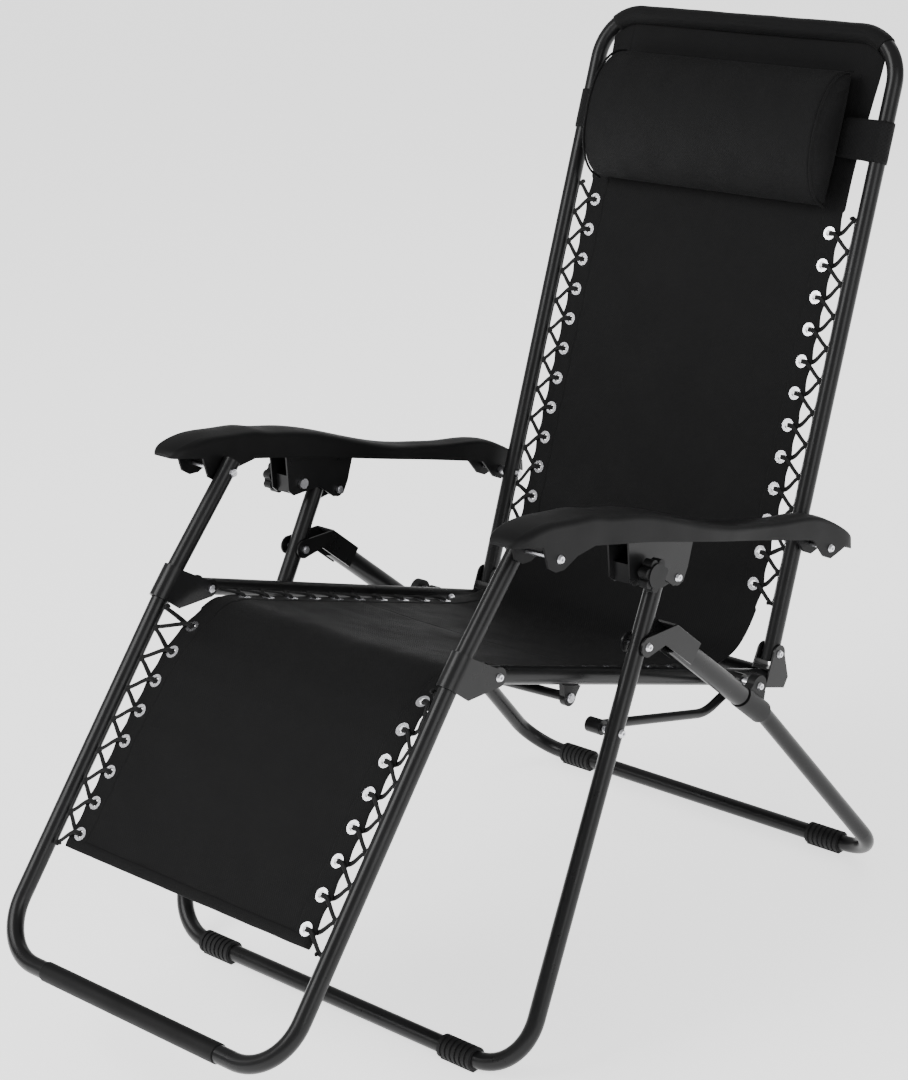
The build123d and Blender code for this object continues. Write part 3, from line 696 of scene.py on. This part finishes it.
# ---------------------------------------------------------------- head pillow
PILLOW_LOW, PILLOW_HIGH = 581.0, 761.0
PILLOW_MID = (PILLOW_LOW + PILLOW_HIGH) / 2
PILLOW_HALF = 192.0
PANEL_OUT = 36.0       # the middle of an end panel lies this far in front of the back frame's plane
SWELL_FRAMES = 20
SWELL_CAP = 9.0 * MM
FRONT, REAR, ACROSS = 30, 20, 56
RING = FRONT + REAR


def pillow_section():
    """D-shaped section: (along the back, out in front of it), the front first, from low to high."""
    ring = []
    for i in range(FRONT):
        t = i / FRONT
        even = (1 - math.cos(math.pi * t)) / 2
        ring.append((PILLOW_LOW + (PILLOW_HIGH - PILLOW_LOW) * (0.55 * even + 0.45 * t),
                     13.0 + 58.0 * math.sin(math.pi * t) ** 0.62))
    for i in range(REAR):
        t = i / REAR
        ring.append((PILLOW_HIGH + (PILLOW_LOW - PILLOW_HIGH) * t, 13.0 - 3.0 * math.sin(math.pi * t)))
    return ring


def pillow_mesh():
    """Bolster with a flat back and half-moon end panels; also the vertex rings of its end seams."""
    ring = pillow_section()
    verts, faces, uvs = [], [], []
    girth = [0.0]
    for a, b in zip(ring, ring[1:]):
        girth.append(girth[-1] + span(a, b))
    for i in range(ACROSS + 1):
        x = PILLOW_HALF * (2 * i / ACROSS - 1)
        for k, (s, o) in enumerate(ring):
            verts.append(back_place(x, s, o))
            uvs.append((x * MM, girth[k] * MM))
    for i in range(ACROSS):
        for k in range(RING):
            a, b = i * RING + k, i * RING + (k + 1) % RING
            faces.append((a, a + RING, b + RING, b))
    seams = []
    for end, sign in ((0, -1), (ACROSS, 1)):
        previous = [end * RING + k for k in range(RING)]
        seams.append(previous)
        for shrink in (0.82, 0.62, 0.42, 0.22):
            start = len(verts)
            for s, o in ring:
                place = (PILLOW_MID + (s - PILLOW_MID) * shrink, PANEL_OUT + (o - PANEL_OUT) * shrink)
                verts.append(back_place(sign * (PILLOW_HALF + 0.5), *place))
                uvs.append((place[0] * MM, place[1] * MM))
            for k in range(RING):
                faces.append((previous[k], previous[(k + 1) % RING], start + (k + 1) % RING, start + k))
            previous = list(range(start, start + RING))
        centre = len(verts)
        verts.append(back_place(sign * (PILLOW_HALF + 0.5), PILLOW_MID, PANEL_OUT))
        uvs.append((PILLOW_MID * MM, PANEL_OUT * MM))
        for k in range(RING):
            faces.append((previous[k], previous[(k + 1) % RING], centre))
    return verts, faces, uvs, seams


def swollen(obj, pinned, frames, cap):
    """Inflate a closed mesh with the cloth solver, and limit how far a point may go."""
    rest = [v.co.copy() for v in obj.data.vertices]
    group = obj.vertex_groups.new(name="pin")
    for index, weight in pinned.items():
        group.add([index], weight, "REPLACE")
    cloth = obj.modifiers.new("swell", "CLOTH")
    cloth.settings.quality = 5
    cloth.settings.mass = 0.25
    cloth.settings.use_pressure = True
    cloth.settings.uniform_pressure_force = 4.0
    cloth.settings.vertex_group_mass = "pin"
    cloth.settings.pin_stiffness = 1.0
    cloth.settings.tension_stiffness = 12.0
    cloth.settings.compression_stiffness = 12.0
    cloth.settings.bending_stiffness = 0.25
    cloth.settings.effector_weights.gravity = 0.0
    cloth.collision_settings.use_collision = False
    cloth.point_cache.frame_start = 1
    cloth.point_cache.frame_end = frames
    for number in range(1, frames + 1):
        scene.frame_set(number)
    graph = bpy.context.evaluated_depsgraph_get()
    moved = [v.co.copy() for v in obj.evaluated_get(graph).data.vertices]
    obj.modifiers.clear()
    scene.frame_set(1)
    for vertex, before, after in zip(obj.data.vertices, rest, moved):
        shift = after - before
        if shift.length > cap:
            shift *= cap / shift.length
        vertex.co = before + shift
    obj.vertex_groups.clear()
    obj.data.update()


verts, faces, uvs, seams = pillow_mesh()
head_pillow = new_mesh("head_pillow", verts, faces, PILLOW, uvs)
pins = {index: 0.55 for loop in seams for index in loop}
for row in range(ACROSS + 1):
    for k in range(FRONT, RING):
        pins[row * RING + k] = 1.0
    pins[row * RING] = 0.8
swollen(head_pillow, pins, SWELL_FRAMES, SWELL_CAP)
for vertex in head_pillow.data.vertices:
    co = vertex.co
    pull = noise.noise(Vector((co.x * 26.0, co.y * 18.0, co.z * 18.0)))
    fine = noise.noise(Vector((co.x * 70.0, co.y * 40.0, co.z * 40.0)))
    depth = (co - back_place(0.0, PILLOW_MID, 0.0)).dot(OUT)
    fade = min(1.0, max(0.0, depth - 0.012) / 0.01)
    vertex.co = co + vertex.normal * (pull * 0.0016 + fine * 0.0006) * fade
head_pillow.data.update()
piping_lines = [[head_pillow.data.vertices[i].co.copy() for i in loop[:FRONT + 1]] for loop in seams]
smooth = head_pillow.modifiers.new("round", "SUBSURF")
smooth.levels = 1
smooth.render_levels = 1
baked(head_pillow)
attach(head_pillow, "pillow")
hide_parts("pillow")
piping = curve_object("pillow_piping", piping_lines, 1.7 * MM, PILLOW)
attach(piping, "pillow")


# ---------------------------------------------------------------- elastic straps of the pillow
STRAP_LOW, STRAP_HIGH = 648.5, 702.5
STRAP_R = 12.3         # the strap's line round the upright's tube


def strap(name, sign):
    """Wide webbing from the pillow's end round the upright and back onto itself."""
    path = [(194.0, 13.2), (205.0, 12.9), (222.0, 12.5), (238.0, STRAP_R)]
    for i in range(19):
        a = math.radians(90.0 - 10.0 * i)
        path.append((FRAME_X + STRAP_R * math.cos(a), STRAP_R * math.sin(a)))
    path += [(244.0, -11.4), (240.4, -8.6), (238.3, -4.0), (237.6, 2.0), (236.4, 7.0), (231.5, 9.9),
             (222.0, 10.7), (212.0, 11.0)]
    low, high, rows = STRAP_LOW, STRAP_HIGH, 14
    middle = (low + high) / 2
    verts, uvs, faces = [], [], []
    n = len(path)
    length = [0.0]
    for a, b in zip(path, path[1:]):
        length.append(length[-1] + span(a, b))
    for face in (0.6, -0.6):
        for r in range(rows + 1):
            s = low + (high - low) * r / rows
            edge = 0.55 if r in (0, rows) else 1.0
            for k, (x, o) in enumerate(path):
                turn = math.radians(heading(path[max(k - 1, 0)], path[min(k + 1, n - 1)]) + 90.0)
                pinch = 1.0 - 0.05 * math.exp(-((x - 194.0) / 12.0) ** 2)
                px = x + face * edge * math.cos(turn)
                po = o + face * edge * math.sin(turn)
                verts.append(back_place(sign * px, middle + (s - middle) * pinch, po))
                uvs.append((length[k] * MM, s * MM))
    per = n * (rows + 1)
    for r in range(rows):
        for k in range(n - 1):
            a = r * n + k
            faces.append((a, a + 1, a + n + 1, a + n))
            faces.append((a + per + n, a + per + n + 1, a + per + 1, a + per))
        for k in (0, n - 1):
            a, b = r * n + k, (r + 1) * n + k
            faces.append((a, b, b + per, a + per))
    for r in (0, rows):
        for k in range(n - 1):
            a = r * n + k
            faces.append((a, a + 1, a + 1 + per, a + per))
    obj = new_mesh(name, verts, faces, STRAP, uvs)
    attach(obj, "pillow")
    return obj


strap_left = strap("pillow_strap_left", 1)
strap("pillow_strap_right", -1)
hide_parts("pillow_straps")

# ---------------------------------------------------------------- floor, light and camera
FLOOR_GLOW = 1.5
WORLD_STRENGTH = 0.45
floor_mesh = bpy.data.meshes.new("floor")
floor_mesh.from_pydata([(-14, -14, 0), (14, -14, 0), (14, 14, 0), (-14, 14, 0)], [], [(0, 1, 2, 3)])
ground = Shade("studio_floor", rough=0.85, spec=0.2)
ground.bsdf.inputs["Emission Color"].default_value = (1.0, 1.0, 1.0, 1.0)
ground.bsdf.inputs["Emission Strength"].default_value = FLOOR_GLOW
ground.colour(ground.ramp(ground.noise(0.6, 2.0), ((0.3, (0.90, 0.90, 0.90)), (0.7, (0.93, 0.93, 0.93)))))
floor = new_object("floor", floor_mesh, ground.mat)

world = bpy.data.worlds.new("studio")
scene.world = world
world.use_nodes = True
world.node_tree.nodes["Background"].inputs[0].default_value = (1.0, 1.0, 1.0, 1.0)
world.node_tree.nodes["Background"].inputs[1].default_value = WORLD_STRENGTH


def area_light(name, place, target, size, energy):
    data = bpy.data.lights.new(name, "AREA")
    data.shape = "RECTANGLE"
    data.size, data.size_y = size
    data.energy = energy
    lamp = bpy.data.objects.new(name, data)
    scene.collection.objects.link(lamp)
    lamp.location = place
    lamp.rotation_euler = (Vector(target) - Vector(place)).to_track_quat("-Z", "Y").to_euler()


area_light("key", (-1.6, -3.2, 3.4), (0.0, 0.0, 0.5), (2.4, 2.4), 150.0)
area_light("fill", (3.6, -1.2, 2.0), (0.0, 0.0, 0.5), (2.0, 2.6), 60.0)
area_light("rim", (-0.8, 3.4, 2.8), (0.0, 0.0, 0.7), (2.6, 1.6), 25.0)

CAMERA_YAW = 44.44
CAMERA_ELEVATION = 19.79
CAMERA_ROLL = -3.405
CAMERA_DISTANCE = 3.362
CAMERA_LENS = 88.69
CAMERA_TARGET_Z = 0.5516
camera_data = bpy.data.cameras.new("camera")
camera_data.sensor_width = 36.0
camera_data.lens = CAMERA_LENS
camera_data.clip_end = 60.0
camera = bpy.data.objects.new("camera", camera_data)
scene.collection.objects.link(camera)
yaw, elevation, roll = (math.radians(v) for v in (CAMERA_YAW, CAMERA_ELEVATION, CAMERA_ROLL))
away = Vector((math.sin(yaw) * math.cos(elevation), -math.cos(yaw) * math.cos(elevation),
               math.sin(elevation)))
level = Vector((0, 0, 1)).cross(away).normalized()
above = away.cross(level)
across = level * math.cos(roll) + above * math.sin(roll)
upward = above * math.cos(roll) - level * math.sin(roll)
target = Vector((0.0, -CENTRE_Y * MM, CAMERA_TARGET_Z))
camera.matrix_world = Matrix.Translation(target + away * CAMERA_DISTANCE) @ \
    Matrix((across, upward, away)).transposed().to_4x4()
scene.camera = camera
